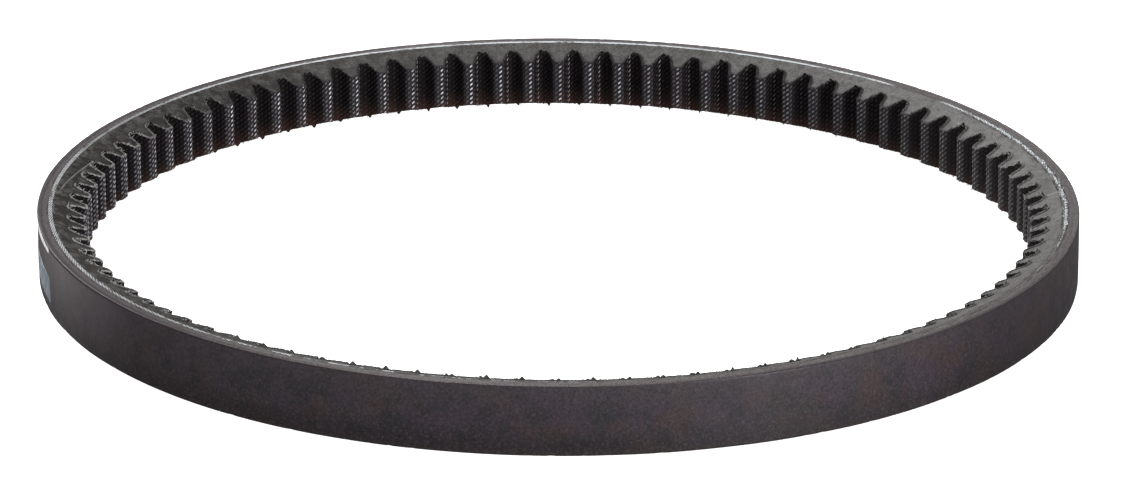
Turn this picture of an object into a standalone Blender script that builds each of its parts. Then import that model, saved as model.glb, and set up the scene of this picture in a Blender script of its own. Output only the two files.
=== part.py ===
"""Raw-edge cogged V-belt: an endless rubber belt with moulded cogs, laid on its edge.

Units are metres. The origin is the centre of the loop, halfway up the belt's width, +Z runs along the
loop's axis and +X along the long axis of the slightly oval loop. A place on the belt is given by its
turn, from 0 to 1 anticlockwise from +X in equal steps of belt length, its depth below the back face
and its height.
"""

import math

import bmesh
import bpy
import numpy as np

# Driving dimensions
OUTSIDE_RADIUS = 0.0955  # mean radius of the back face: a belt of 600 mm outside length
OVAL = 0.014  # share by which the loop is longer along X and shorter along Y
TOP_WIDTH = 0.0127
THICKNESS = 0.0089
SHOULDER_DEPTH = 0.0028  # the edges are square down to here, then the flanks taper
FLANK_ANGLE = math.radians(20.5)
COGS = 93

# Plies, as depths below the back face
BACKING_END = 0.0009
OVERCORD_START, OVERCORD_END = 0.00095, 0.00185
CORD_DEPTH, CORD_DIAMETER, CORD_PITCH = 0.0024, 0.00082, 0.00105
CORD_HALVED_TURN = 0.494  # where the upper edge cuts the wound cord in half
UNDERCORD_START, UNDERCORD_END = 0.00295, 0.00345
RUBBER_START = 0.0035

# Notches between the cogs
ROOT_DEPTH = 0.00575
ROOT_RADIUS = 0.0012
NOTCH_FLARE = math.radians(20)
ROOT_ARC_POINTS = 4
FACING_THICKNESS = 0.00045
FACING_BOND = 0.00005  # space kept between the facing fabric and the rubber it is bonded to

# Splices in the cogged half: both end at a notch root, one radial and one scarfed
SPLICE_GAP = 0.00004
RADIAL_SPLICE_COG = 13
SCARF_ROOT_COG, SCARF_CORD_COG = 55, 58
SCARF_ROOT_DEPTH, SCARF_CORD_DEPTH = 0.00535, 0.0033

# Marks on the back face: first and last facet edge they span, then their height range
MARK_FIRST, MARK_LAST = 57, 63
MARK_LAST_SHARE = 0.55
MARK_UPPER = (0.0050, 0.0061)
MARK_LOWER = (-0.0043, 0.0006)
MARK_THICKNESS, MARK_BOND = 0.00012, 0.00003

CORD_POINTS_PER_TURN = 48
ELLIPSE_STEPS = 7200
CLEAR = 0.004  # how far a cutter runs past what it cuts
SLAB_SIDES = 32  # of the round slab that trims the cord to the belt's width
WELD = 1e-6
SHARPEST = math.radians(30)  # sides that meet at more than this are shaded with a crisp edge

SEMI_AXES = np.array([OUTSIDE_RADIUS * (1 + OVAL), OUTSIDE_RADIUS * (1 - OVAL)])


def measured_ellipse():
    """Ellipse parameters, with the share of the belt's cord-line length that lies before each."""
    angle = np.linspace(0, 2 * math.pi, ELLIPSE_STEPS + 1)
    line = ellipse_point(angle, CORD_DEPTH)
    steps = np.linalg.norm(np.diff(line, axis=0), axis=1)
    length = np.concatenate([[0], np.cumsum(steps)])
    return angle, length / length[-1]


def ellipse_point(angle, depth):
    """The point at this ellipse parameter, moved inwards from the back face along its normal."""
    surface = np.stack([SEMI_AXES[0] * np.cos(angle), SEMI_AXES[1] * np.sin(angle)], -1)
    normal = surface / SEMI_AXES**2
    normal = normal / np.linalg.norm(normal, axis=-1, keepdims=True)
    return surface - np.asarray(depth)[..., None] * normal


ANGLES, SHARES = measured_ellipse()


def belt_point(turn, depth):
    """X and Y at a turn and a depth below the back face."""
    whole = np.floor(turn)
    angle = np.interp(np.asarray(turn) - whole, SHARES, ANGLES)
    return ellipse_point(angle, np.asarray(depth, float))


def half_width(depth):
    """Half the belt's width at this depth: square shoulders, then tapering flanks."""
    return TOP_WIDTH / 2 - max(0.0, depth - SHOULDER_DEPTH) * math.tan(FLANK_ANGLE)


def facet_turns():
    """Turns of the corners of the smooth plies: one facet behind each notch."""
    return (np.arange(COGS) + 0.5) / COGS


def notch_outline(offset):
    """(place along the belt, depth) of one notch, from mouth to mouth, moved into the rubber by offset."""
    radius = ROOT_RADIUS + offset
    reach = math.pi / 2 - NOTCH_FLARE
    points = [
        (radius * math.sin(a), ROOT_DEPTH + ROOT_RADIUS - radius * math.cos(a))
        for a in np.linspace(-reach, reach, ROOT_ARC_POINTS)
    ]
    along, depth = points[-1]
    mouth_depth = THICKNESS - offset
    mouth = along + (mouth_depth - depth) * math.tan(NOTCH_FLARE)
    return [(-mouth, mouth_depth), *points, (mouth, mouth_depth)]


def cogged_line(offset):
    """The closed line along crests and notches, moved into the rubber by offset."""
    cord_length = 2 * math.pi * (OUTSIDE_RADIUS - CORD_DEPTH)
    points = []
    for cog in range(COGS):
        for along, depth in notch_outline(offset):
            # A length along the belt at this depth turns it through more than at the cord line.
            turn = along / cord_length * (OUTSIDE_RADIUS - CORD_DEPTH) / (OUTSIDE_RADIUS - depth)
            points.append(belt_point(cog / COGS + turn, depth))
    return np.array(points)


def material(name, colour, roughness):
    made = bpy.data.materials.new(name)
    made.use_nodes = True
    shader = made.node_tree.nodes["Principled BSDF"]
    shader.inputs["Base Color"].default_value = (*colour, 1.0)
    shader.inputs["Roughness"].default_value = roughness
    shader.inputs["Metallic"].default_value = 0.0
    made.diffuse_color = (*colour, 1.0)
    return made


def collection(name):
    made = bpy.data.collections.new(name)
    bpy.context.scene.collection.children.link(made)
    return made


def add_line(curve, points, closed=True):
    line = curve.splines.new("POLY")
    line.points.add(len(points) - 1)
    for target, point in zip(line.points, points):
        z = point[2] if len(point) > 2 else 0.0
        target.co = (point[0], point[1], z, 1.0)
    line.use_cyclic_u = closed


def curve_object(name, lines, where, dimensions="2D"):
    curve = bpy.data.curves.new(name, "CURVE")
    curve.dimensions = dimensions
    curve.resolution_u = 1
    for points in lines:
        add_line(curve, points, closed=dimensions == "2D")
    made = bpy.data.objects.new(name, curve)
    where.objects.link(made)
    return made


def as_cutter(tool):
    tool.hide_render = True
    tool.display_type = "WIRE"
    return tool


def as_mesh(source):
    """The curve turned into a mesh object of the same name, with its caps welded to its sides."""
    bpy.context.view_layer.update()
    graph = bpy.context.evaluated_depsgraph_get()
    mesh = bpy.data.meshes.new_from_object(source.evaluated_get(graph))
    shape = bmesh.new()
    shape.from_mesh(mesh)
    bmesh.ops.remove_doubles(shape, verts=shape.verts, dist=WELD)
    bmesh.ops.recalc_face_normals(shape, faces=shape.faces)
    shape.to_mesh(mesh)
    shape.free()
    name, where = source.name, source.users_collection[0]
    made = bpy.data.objects.new(name, mesh)
    made.matrix_world = source.matrix_world
    bpy.data.objects.remove(source)
    made.name = name
    where.objects.link(made)
    return made


def ring(name, section, where):
    """A section of (depth, height) points swept round the belt."""
    profile = as_cutter(curve_object(name + "_section", [section], cutters))
    path = curve_object(name, [belt_point(facet_turns(), np.zeros(COGS))], where)
    path.data.bevel_mode = "OBJECT"
    path.data.bevel_object = profile
    return as_mesh(path)


def ply_section(start, end):
    """Section of a ply that reaches the belt's edges, bending where the shoulder ends."""
    depths = [start, end]
    if start < SHOULDER_DEPTH < end:
        depths.insert(1, SHOULDER_DEPTH)
    lower = [(depth, -half_width(depth)) for depth in depths]
    upper = [(depth, half_width(depth)) for depth in reversed(depths)]
    return lower + upper


def plate(name, lines, height, where):
    """Filled outlines given a height, centred on the belt's mid-plane."""
    flat = curve_object(name, lines, where)
    flat.data.fill_mode = "BOTH"
    flat.data.extrude = height / 2
    return flat


def cut(target, operation, tool):
    step = target.modifiers.new(operation.lower() + "_" + tool.name, "BOOLEAN")
    step.operation = operation
    step.object = tool


def sector(name, first, last):
    """Cutter that holds the belt between two splices, each a list of (turn, depth) from outside in."""
    start_turn, end_turn = first[0][0], last[0][0]
    sweep = np.linspace(start_turn, end_turn, COGS // 2)
    outside = [belt_point(turn, -CLEAR) for turn in sweep]
    inwards = [belt_point(turn, depth) for turn, depth in last]
    inside_sweep = np.linspace(last[-1][0], first[-1][0], COGS // 2)
    inside = [belt_point(turn, THICKNESS + CLEAR) for turn in inside_sweep]
    outwards = [belt_point(turn, depth) for turn, depth in reversed(first)]
    outline = [*outside, *inwards, *inside, *outwards]
    return as_cutter(as_mesh(plate(name, [outline], TOP_WIDTH + CLEAR, cutters)))


def radial_splice(shift):
    turn = RADIAL_SPLICE_COG / COGS + shift
    return [(turn, 0.0), (turn, THICKNESS)]


def scarf_splice(shift):
    """Slants from the cord line down to a notch root, then follows the notch's middle."""
    root, cord = SCARF_ROOT_COG / COGS + shift, SCARF_CORD_COG / COGS + shift
    return [(cord, 0.0), (cord, SCARF_CORD_DEPTH), (root, SCARF_ROOT_DEPTH), (root, THICKNESS)]


def sectors():
    half_gap = SPLICE_GAP / 2 / (2 * math.pi * OUTSIDE_RADIUS)
    short = sector("short_length", radial_splice(half_gap), scarf_splice(-half_gap))
    onwards = [(turn + 1, depth) for turn, depth in radial_splice(-half_gap)]
    return {"short": short, "long": sector("long_length", scarf_splice(half_gap), onwards)}


def make_backing_cover():
    return ring("backing_cover", ply_section(0.0, BACKING_END), parts)


def make_overcord_gum():
    return ring("overcord_gum", ply_section(OVERCORD_START, OVERCORD_END), parts)


def make_undercord_gum():
    return ring("undercord_gum", ply_section(UNDERCORD_START, UNDERCORD_END), parts)


def make_tensile_cord():
    """One cord wound round the belt as a helix, cut flush where it runs out at the belt's edges."""
    turns = math.ceil((TOP_WIDTH + CORD_DIAMETER) / CORD_PITCH) + 1
    steps = turns * CORD_POINTS_PER_TURN
    start_turn = CORD_HALVED_TURN - TOP_WIDTH / 2 / CORD_PITCH - turns / 2
    # The sides of the polygon straddle the cord line.
    depth = CORD_DEPTH - OUTSIDE_RADIUS * (1 - math.cos(math.pi / CORD_POINTS_PER_TURN)) / 2
    points = []
    for step in range(steps + 1):
        turn = step / CORD_POINTS_PER_TURN
        x, y = belt_point(turn + start_turn, depth)
        points.append((x, y, (turn - turns / 2) * CORD_PITCH))
    cord = curve_object("tensile_cord", [points], parts, dimensions="3D")
    cord.data.bevel_depth = CORD_DIAMETER / 2
    cord.data.bevel_resolution = 0
    cord.data.use_fill_caps = True
    cord = as_mesh(cord)
    reach = OUTSIDE_RADIUS + CLEAR * 2
    bpy.ops.mesh.primitive_cylinder_add(vertices=SLAB_SIDES, radius=reach, depth=TOP_WIDTH)
    slab = bpy.context.object
    slab.name = "belt_width_slab"
    for owner in list(slab.users_collection):
        owner.objects.unlink(slab)
    cutters.objects.link(slab)
    cut(cord, "INTERSECT", as_cutter(slab))
    return cord


def make_compression_rubber(lengths):
    """The cogged body, in the two lengths that meet at the splices."""
    line = cogged_line(FACING_THICKNESS + FACING_BOND)
    hole = as_cutter(as_mesh(plate("cogged_hole", [line], TOP_WIDTH + CLEAR, cutters)))
    made = []
    for length, holder in lengths.items():
        section = ply_section(RUBBER_START, THICKNESS + CLEAR)
        body = ring("compression_rubber_" + length, section, parts)
        cut(body, "DIFFERENCE", hole)
        cut(body, "INTERSECT", holder)
        made.append(body)
    return made


def make_facing_fabric(lengths):
    """The fabric skin over crests and notches, spliced with the rubber under it."""
    taper = ring("flank_taper", ply_section(RUBBER_START, THICKNESS + CLEAR), cutters)
    as_cutter(taper)
    made = []
    for length, holder in lengths.items():
        lines = [cogged_line(FACING_THICKNESS), cogged_line(0.0)]
        skin = as_mesh(plate("facing_fabric_" + length, lines, TOP_WIDTH, parts))
        cut(skin, "INTERSECT", taper)
        cut(skin, "INTERSECT", holder)
        made.append(skin)
    return made


def mark_line(depth):
    """Points along the facets of the back face that a mark covers, the last facet only in part."""
    line = [belt_point((edge + 0.5) / COGS, depth) for edge in range(MARK_FIRST, MARK_LAST + 1)]
    line[-1] = line[-2] + (line[-1] - line[-2]) * MARK_LAST_SHARE
    return line


def make_mark(name, heights):
    """A thin printed bar bonded to the back face."""
    outer = mark_line(-MARK_BOND - MARK_THICKNESS)
    inner = mark_line(-MARK_BOND)
    bar = plate(name, [outer + inner[::-1]], heights[1] - heights[0], parts)
    bar.location.z = sum(heights) / 2
    return as_mesh(bar)


for item in list(bpy.data.objects):
    bpy.data.objects.remove(item)
parts = collection("v_belt")
cutters = collection("cutters")

rubber = material("fibre_loaded_rubber", (0.085, 0.080, 0.078), 0.72)
gum = material("gum_rubber", (0.095, 0.082, 0.082), 0.62)
cover = material("cover_rubber", (0.045, 0.034, 0.036), 0.55)
fabric = material("facing_fabric", (0.018, 0.015, 0.017), 0.85)
polyester = material("polyester_cord", (0.62, 0.66, 0.68), 0.60)
ink = material("mark_ink", (0.60, 0.64, 0.69), 0.50)

splice_lengths = sectors()
finishes = [
    ([make_backing_cover()], cover),
    ([make_overcord_gum(), make_undercord_gum()], gum),
    ([make_tensile_cord()], polyester),
    (make_compression_rubber(splice_lengths), rubber),
    (make_facing_fabric(splice_lengths), fabric),
    ([make_mark("mark_upper", MARK_UPPER), make_mark("mark_lower", MARK_LOWER)], ink),
]
for pieces, finish in finishes:
    for piece in pieces:
        piece.data.materials.clear()
        piece.data.materials.append(finish)
        piece.data.shade_smooth()
        piece.data.set_sharp_from_angle(angle=SHARPEST)
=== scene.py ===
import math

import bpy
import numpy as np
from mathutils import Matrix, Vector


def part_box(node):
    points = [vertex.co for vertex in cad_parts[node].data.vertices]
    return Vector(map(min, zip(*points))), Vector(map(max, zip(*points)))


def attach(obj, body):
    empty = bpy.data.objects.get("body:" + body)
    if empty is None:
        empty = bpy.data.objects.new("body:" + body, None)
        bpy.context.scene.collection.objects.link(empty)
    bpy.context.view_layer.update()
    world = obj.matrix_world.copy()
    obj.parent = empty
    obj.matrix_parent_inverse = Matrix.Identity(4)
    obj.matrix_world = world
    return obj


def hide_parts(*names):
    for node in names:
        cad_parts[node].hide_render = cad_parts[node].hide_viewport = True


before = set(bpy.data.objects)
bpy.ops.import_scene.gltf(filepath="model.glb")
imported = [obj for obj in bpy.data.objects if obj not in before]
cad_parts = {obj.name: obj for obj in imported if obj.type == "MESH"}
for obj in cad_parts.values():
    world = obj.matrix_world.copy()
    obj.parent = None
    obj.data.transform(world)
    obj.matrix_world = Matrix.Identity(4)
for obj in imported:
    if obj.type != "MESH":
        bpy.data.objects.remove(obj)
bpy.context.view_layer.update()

# A raw-edge cogged V-belt lying on its edge: cover, gum, wound cord, cogged rubber and twill facing.
# A place on the belt is its turn (0 to 1 anticlockwise from +X in equal steps of belt length, as in the
# CAD model), its depth below the back face and its height. Cog n has a notch at turn n / COGS.

MM = 0.001
COVER_LOW, COVER_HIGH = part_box("backing_cover")
SEMI_AXES = np.array([COVER_HIGH[0], COVER_HIGH[1]])
MEAN_RADIUS = float(SEMI_AXES.mean())
TOP_WIDTH = COVER_HIGH[2] - COVER_LOW[2]
HALF = TOP_WIDTH / 2


def ply_start(node):
    """Depth at which a ply begins, read off the CAD model on the +X side."""
    return COVER_HIGH[0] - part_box(node)[1][0]


# Section, as in the CAD model
COVER_END = ply_start("overcord_gum")
RUBBER_START = ply_start("compression_rubber_long")
SHOULDER_DEPTH = 2.8 * MM
FLANK_ANGLE = math.radians(20.5)
THICKNESS = 8.9 * MM
CORD_DEPTH, CORD_RADIUS, CORD_PITCH = 2.4 * MM, 0.41 * MM, 1.05 * MM
CORD_HALVED_TURN = 0.494
COGS = 93
ROOT_DEPTH, ROOT_RADIUS = 5.75 * MM, 1.2 * MM
NOTCH_FLARE = math.radians(20)
FACING = 0.45 * MM
RADIAL_SPLICE_COG = 13
SCARF_ROOT_COG, SCARF_CORD_COG = 55, 58
SCARF_ROOT_DEPTH, SCARF_CORD_DEPTH = 5.35 * MM, 3.3 * MM

# Weave of the facing: slanting floats in upright columns, this many to a cog pitch
RIB_SPACING, RIB_SLOPE = 0.94 * MM, 0.8
COLUMNS_PER_COG = 12
# Where in a cog pitch the facing is worn pale and carries painted highlights, and how much at the back of
# the loop. The last two numbers are what is added on the loop's left and on its right.
WORN_COLUMNS = (
    (0.458, 1.15, 0.05, -0.85),
    (0.542, 0.13, 0.42, 0.12),
    (0.375, 0.08, 0.45, 0.12),
    (0.625, 0.05, 0.25, 0.02),
    (0.125, 0.70, -0.25, -0.62),
    (0.208, 0.16, -0.05, -0.12),
    (0.875, 0.05, 0.0, 0.02),
)

ELLIPSE_STEPS = 7200

# ---- Belt geometry


def ellipse_point(angle, depth):
    """The point at this ellipse parameter, moved inwards from the back face along its normal."""
    surface = np.stack([SEMI_AXES[0] * np.cos(angle), SEMI_AXES[1] * np.sin(angle)], -1)
    normal = surface / SEMI_AXES**2
    normal = normal / np.linalg.norm(normal, axis=-1, keepdims=True)
    return surface - np.asarray(depth)[..., None] * normal


def measured_ellipse():
    """Ellipse parameters, the share of the cord line that lies before each, and the line's length."""
    angle = np.linspace(0, 2 * math.pi, ELLIPSE_STEPS + 1)
    line = ellipse_point(angle, CORD_DEPTH)
    length = np.concatenate([[0], np.cumsum(np.linalg.norm(np.diff(line, axis=0), axis=1))])
    return angle, length / length[-1], length[-1]


ANGLES, SHARES, CORD_LINE = measured_ellipse()


def belt_points(turn, depth, height):
    """World points for arrays of turn, depth and height that broadcast together."""
    turn, depth, height = np.broadcast_arrays(turn, depth, height)
    angle = np.interp(turn - np.floor(turn), SHARES, ANGLES)
    return np.concatenate([ellipse_point(angle, depth), height[..., None]], -1)


def half_width(depth):
    """Half the belt's width at this depth: square shoulders, then tapering flanks."""
    return HALF - np.maximum(0.0, depth - SHOULDER_DEPTH) * math.tan(FLANK_ANGLE)


def turn_of(along, depth):
    """Turn covered by a length along the belt at this depth."""
    return along / (2 * math.pi * (MEAN_RADIUS - depth))


def waves(turn, across, seed, count, most_cycles, across_scale):
    """Smooth noise of about unit size that closes on itself after a turn."""
    rng = np.random.default_rng(seed)
    total = np.zeros(np.broadcast(turn, across).shape)
    for _ in range(count):
        cycles = rng.integers(1, most_cycles)
        slope = rng.normal() / across_scale
        phase = rng.uniform(0, 2 * math.pi)
        total += np.cos(2 * math.pi * cycles * turn + slope * across + phase)
    return total * math.sqrt(2 / count)


def crossed(value, centre, width):
    """1 at the centre, falling to nothing about two widths away."""
    return np.exp(-(((value - centre) / width) ** 2))


# ---- Meshes

ROUNDING_POINTS = 5
TOUCHING = 0.001 * MM


def signed_volume(points, triangles):
    a, b, c = (points[triangles[:, k]] for k in range(3))
    return np.einsum("ij,ij->i", a, np.cross(b, c)).sum() / 6


def mesh_object(name, points, triangles, material, attributes=None, crease=None):
    """An object from point and triangle arrays, facing outwards and smooth up to a crease angle."""
    if signed_volume(points, triangles) < 0:
        triangles = triangles[:, ::-1]
    mesh = bpy.data.meshes.new(name)
    mesh.vertices.add(len(points))
    mesh.vertices.foreach_set("co", points.astype(np.float32).ravel())
    mesh.loops.add(triangles.size)
    mesh.loops.foreach_set("vertex_index", triangles.astype(np.int32).ravel())
    mesh.polygons.add(len(triangles))
    mesh.polygons.foreach_set("loop_start", np.arange(0, triangles.size, 3, dtype=np.int32))
    mesh.polygons.foreach_set("use_smooth", np.ones(len(triangles), bool))
    for key, values in (attributes or {}).items():
        layer = mesh.attributes.new(key, "FLOAT", "POINT")
        layer.data.foreach_set("value", np.asarray(values, np.float32).ravel())
    mesh.update(calc_edges=True)
    mesh.validate()
    if crease:
        mesh.set_sharp_from_angle(angle=crease)
    mesh.materials.append(material)
    made = bpy.data.objects.new(name, mesh)
    bpy.context.scene.collection.objects.link(made)
    return made


def loft(points, endless):
    """Triangles over a grid of closed loops [loop, place in loop], with fans on open ends."""
    loops, around = points.shape[:2]
    index = np.arange(loops * around).reshape(loops, around)
    a = index if endless else index[:-1]
    b = np.roll(index, -1, axis=0) if endless else index[1:]
    c, d = np.roll(b, -1, axis=1), np.roll(a, -1, axis=1)
    triangles = [np.stack([a, b, d], -1).reshape(-1, 3), np.stack([b, c, d], -1).reshape(-1, 3)]
    vertices = points.reshape(-1, 3)
    if not endless:
        middles = np.stack([points[0].mean(0), points[-1].mean(0)])
        for end, loop in enumerate((index[0], index[-1])):
            onwards = np.roll(loop, -1)
            fan = [loop, onwards] if end == 0 else [onwards, loop]
            triangles.append(np.stack([*fan, np.full(around, len(vertices) + end)], -1))
        vertices = np.concatenate([vertices, middles])
    return vertices, np.concatenate(triangles)


def lofted(name, points, material, endless=True, crease=None, **attributes):
    """An object lofted over a grid of loops, with a float attribute for each keyword."""
    vertices, triangles = loft(points, endless)
    values = {}
    for key, grid in attributes.items():
        flat = np.broadcast_to(grid, points.shape[:2]).ravel()
        spare = len(vertices) - len(flat)
        values[key] = np.concatenate([flat, np.zeros(spare)])
    return mesh_object(name, vertices, triangles, material, values, crease)


def rounded(corners, radius, kept_sharp):
    """A closed outline of (depth, height) corners, rounded but for those kept sharp."""
    out = []
    corners = np.asarray(corners, float)
    for i, corner in enumerate(corners):
        if i in kept_sharp:
            out.append(corner)
            continue
        towards = [corners[i - 1] - corner, corners[(i + 1) % len(corners)] - corner]
        towards = [step / np.linalg.norm(step) for step in towards]
        start, end = corner + towards[0] * radius, corner + towards[1] * radius
        for t in np.linspace(0, 1, ROUNDING_POINTS):
            out.append((1 - t) ** 2 * start + 2 * t * (1 - t) * corner + t**2 * end)
    return np.array(out)


def refined(outline, longest, hidden=math.inf):
    """The outline with points added so that no side is longer than this, or than hidden if inside."""
    out = []
    for a, b in zip(outline, np.roll(outline, -1, axis=0)):
        inside = abs(a[0] - b[0]) < TOUCHING and a[0] > TOUCHING
        pieces = max(1, math.ceil(np.linalg.norm(b - a) / (hidden if inside else longest)))
        out += [a + (b - a) * k / pieces for k in range(pieces)]
    return np.array(out)


# ---- Materials


class Shader:
    """A Principled material and short ways to make the nodes that feed it."""

    def __init__(self, name, roughness, specular):
        self.material = bpy.data.materials.new(name)
        self.material.use_nodes = True
        self.tree = self.material.node_tree
        self.shader = self.tree.nodes["Principled BSDF"]
        self.shader.inputs["Roughness"].default_value = roughness
        self.shader.inputs["Specular IOR Level"].default_value = specular
        self.place = self.node("ShaderNodeTexCoord").outputs["Object"]

    def node(self, kind, **settings):
        made = self.tree.nodes.new(kind)
        for key, value in settings.items():
            setattr(made, key, value)
        return made

    def link(self, source, target):
        """Joins an output to an input, or sets the input to a plain value."""
        if hasattr(source, "links"):
            self.tree.links.new(source, target)
        else:
            target.default_value = source
        return self

    def noise(self, size, detail=4.0, rough=0.55):
        """Noise with features of about this size, in metres."""
        made = self.node("ShaderNodeTexNoise")
        self.link(self.place, made.inputs["Vector"])
        made.inputs["Scale"].default_value = 1 / size
        made.inputs["Detail"].default_value = detail
        made.inputs["Roughness"].default_value = rough
        return made.outputs["Fac"]

    def attribute(self, name):
        return self.node("ShaderNodeAttribute", attribute_name=name).outputs["Fac"]

    def height(self):
        made = self.node("ShaderNodeSeparateXYZ")
        self.link(self.place, made.inputs[0])
        return made.outputs["Z"]

    def between(self, value, low, high, to_low=0.0, to_high=1.0):
        """Goes softly from one number to another while the value goes from low to high."""
        made = self.node("ShaderNodeMapRange", interpolation_type="SMOOTHSTEP")
        limits = {"From Min": low, "From Max": high, "To Min": to_low, "To Max": to_high}
        for key, number in limits.items():
            made.inputs[key].default_value = number
        self.link(value, made.inputs["Value"])
        return made.outputs["Result"]

    def maths(self, operation, a, b=0.0):
        made = self.node("ShaderNodeMath", operation=operation)
        self.link(a, made.inputs[0]).link(b, made.inputs[1])
        return made.outputs[0]

    def mix(self, share, a, b):
        made = self.node("ShaderNodeMix", data_type="RGBA")
        self.link(share, made.inputs["Factor"])
        self.link(colour4(a), made.inputs["A"]).link(colour4(b), made.inputs["B"])
        return made.outputs["Result"]

    def specks(self, spacing, radius, keep):
        """1 on a few round specks: one may lie in each cell of this spacing, and a share is kept."""
        made = self.node("ShaderNodeTexVoronoi")
        self.link(self.place, made.inputs["Vector"])
        made.inputs["Scale"].default_value = 1 / spacing
        dot = self.between(made.outputs["Distance"], radius / spacing * 0.7, radius / spacing, 1.0, 0.0)
        split = self.node("ShaderNodeSeparateColor")
        self.link(made.outputs["Color"], split.inputs[0])
        chosen = self.maths("LESS_THAN", split.outputs[0], keep)
        return self.maths("MULTIPLY", dot, chosen)

    def bump(self, height, distance, under=None):
        """A normal for relief this deep, on top of the normal under it if there is one."""
        made = self.node("ShaderNodeBump")
        self.link(height, made.inputs["Height"])
        made.inputs["Distance"].default_value = distance
        made.inputs["Strength"].default_value = 1.0
        if under:
            self.link(under, made.inputs["Normal"])
        return made.outputs["Normal"]

    def gloss(self, amount):
        self.link(amount, self.shader.inputs["Specular IOR Level"])

    def finish(self, colour, roughness=None, normal=None):
        self.link(colour, self.shader.inputs["Base Color"])
        if roughness:
            self.link(roughness, self.shader.inputs["Roughness"])
        if normal:
            self.link(normal, self.shader.inputs["Normal"])
        return self.material


def colour4(value):
    return (*value, 1.0) if isinstance(value, tuple) and len(value) == 3 else value


def cover_rubber():
    """Mottled brown-black back face, with a paler scratched edge where the knife has cut it."""
    s = Shader("cover_rubber", 0.42, 0.22)
    purple, brown, dark = (0.028, 0.020, 0.027), (0.031, 0.020, 0.021), (0.015, 0.016, 0.018)
    base = s.mix(s.between(s.noise(8 * MM, 3), 0.46, 0.60), purple, brown)
    base = s.mix(s.between(s.noise(5 * MM, 4), 0.47, 0.62, 0.0, 0.7), base, dark)
    height = s.height()
    # Colour by height: a browner band along the lowest edge, painted shade darkening the lower half, and
    # painted light making the upper half paler.
    lowest = s.between(height, -HALF + 0.3 * MM, -HALF + 1.6 * MM, 0.5, 0.0)
    base = s.mix(lowest, base, (0.036, 0.028, 0.022))
    base = s.mix(s.between(height, -HALF + MM, 0, 0.55, 0.0), base, (0.009, 0.007, 0.008))
    base = s.mix(s.between(height, 0, HALF, 0.0, 0.4), base, (0.040, 0.033, 0.038))
    fine = s.noise(0.5 * MM, 3, 0.7)
    base = s.mix(s.between(fine, 0.5, 0.68, 0.0, 0.45), base, (0.052, 0.044, 0.050))
    base = s.mix(s.between(fine, 0.36, 0.5, 0.45, 0.0), base, (0.010, 0.008, 0.009))
    specks = s.specks(5.5 * MM, 0.14 * MM, 0.35)
    base = s.mix(s.maths("MULTIPLY", specks, 0.8), base, (0.22, 0.21, 0.22))
    scratches = s.between(s.noise(0.35 * MM, 4, 0.75), 0.42, 0.60)
    cut = s.mix(scratches, (0.058, 0.049, 0.050), (0.185, 0.168, 0.166))
    # Painted light with dusty dirt: the cut edge is paler on the dusty stretch.
    cut = s.mix(s.maths("MULTIPLY", s.attribute("dust"), 0.6), cut, (0.19, 0.175, 0.175))
    # Painted shade with sooty dirt: the cut edge darkens on the sooty stretch.
    cut = s.mix(s.maths("MULTIPLY", s.attribute("soot"), 1.3), cut, (0.043, 0.035, 0.036))
    # Painted shade: the back face is darkened towards near black where the shade attribute is high.
    base = s.mix(s.attribute("shade"), base, (0.006, 0.0045, 0.005))
    # Painted highlight: a paler patch on the back face, stronger higher up, fading out just below the top
    # edge.
    haze = s.maths("MULTIPLY", s.attribute("haze"), s.between(height, -HALF, HALF, 0.3, 1.0))
    fading = s.between(height, HALF - 0.7 * MM, HALF - 0.2 * MM, 1.0, 0.0)
    base = s.mix(s.maths("MULTIPLY", haze, fading), base, (0.16, 0.143, 0.147))
    base = s.mix(s.attribute("cut"), base, cut)
    at_corner = s.between(height, HALF - 0.28 * MM, HALF - 0.18 * MM)
    corner = s.maths("MULTIPLY", s.attribute("soot"), at_corner)
    s.gloss(s.between(corner, 0.0, 0.3, 0.22, 0.04))
    rough = s.between(s.noise(3 * MM, 5, 0.65), 0.3, 0.7, 0.36, 0.48)
    grain = s.bump(s.noise(0.3 * MM, 3, 0.6), 0.010 * MM)
    normal = s.bump(s.noise(6 * MM, 3), 0.12 * MM, under=grain)
    return s.finish(base, rough, normal)


def cut_gum():
    """Grey gum laid open by the knife."""
    s = Shader("cut_gum", 0.62, 0.2)
    clouds = s.between(s.noise(4 * MM, 4), 0.35, 0.65)
    base = s.mix(clouds, (0.080, 0.068, 0.070), (0.108, 0.096, 0.097))
    lines = s.noise(0.4 * MM, 4, 0.75)
    base = s.mix(s.between(lines, 0.48, 0.64, 0.0, 0.7), base, (0.20, 0.187, 0.185))
    base = s.mix(s.between(lines, 0.34, 0.48, 0.7, 0.0), base, (0.034, 0.029, 0.030))
    # Painted shade with sooty dirt: the cut gum darkens on the sooty stretch.
    base = s.mix(s.maths("MULTIPLY", s.attribute("soot"), 0.7), base, (0.035, 0.029, 0.031))
    # Painted shade: the cracks, the grooves beside the cord and the pits are painted near black.
    base = s.mix(s.attribute("crack"), base, (0.006, 0.005, 0.005))
    s.gloss(s.between(s.attribute("soot"), 0.1, 0.7, 0.2, 0.05))
    normal = s.bump(s.noise(0.18 * MM, 4, 0.7), 0.03 * MM)
    return s.finish(base, s.between(lines, 0.3, 0.7, 0.5, 0.72), normal)


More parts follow.
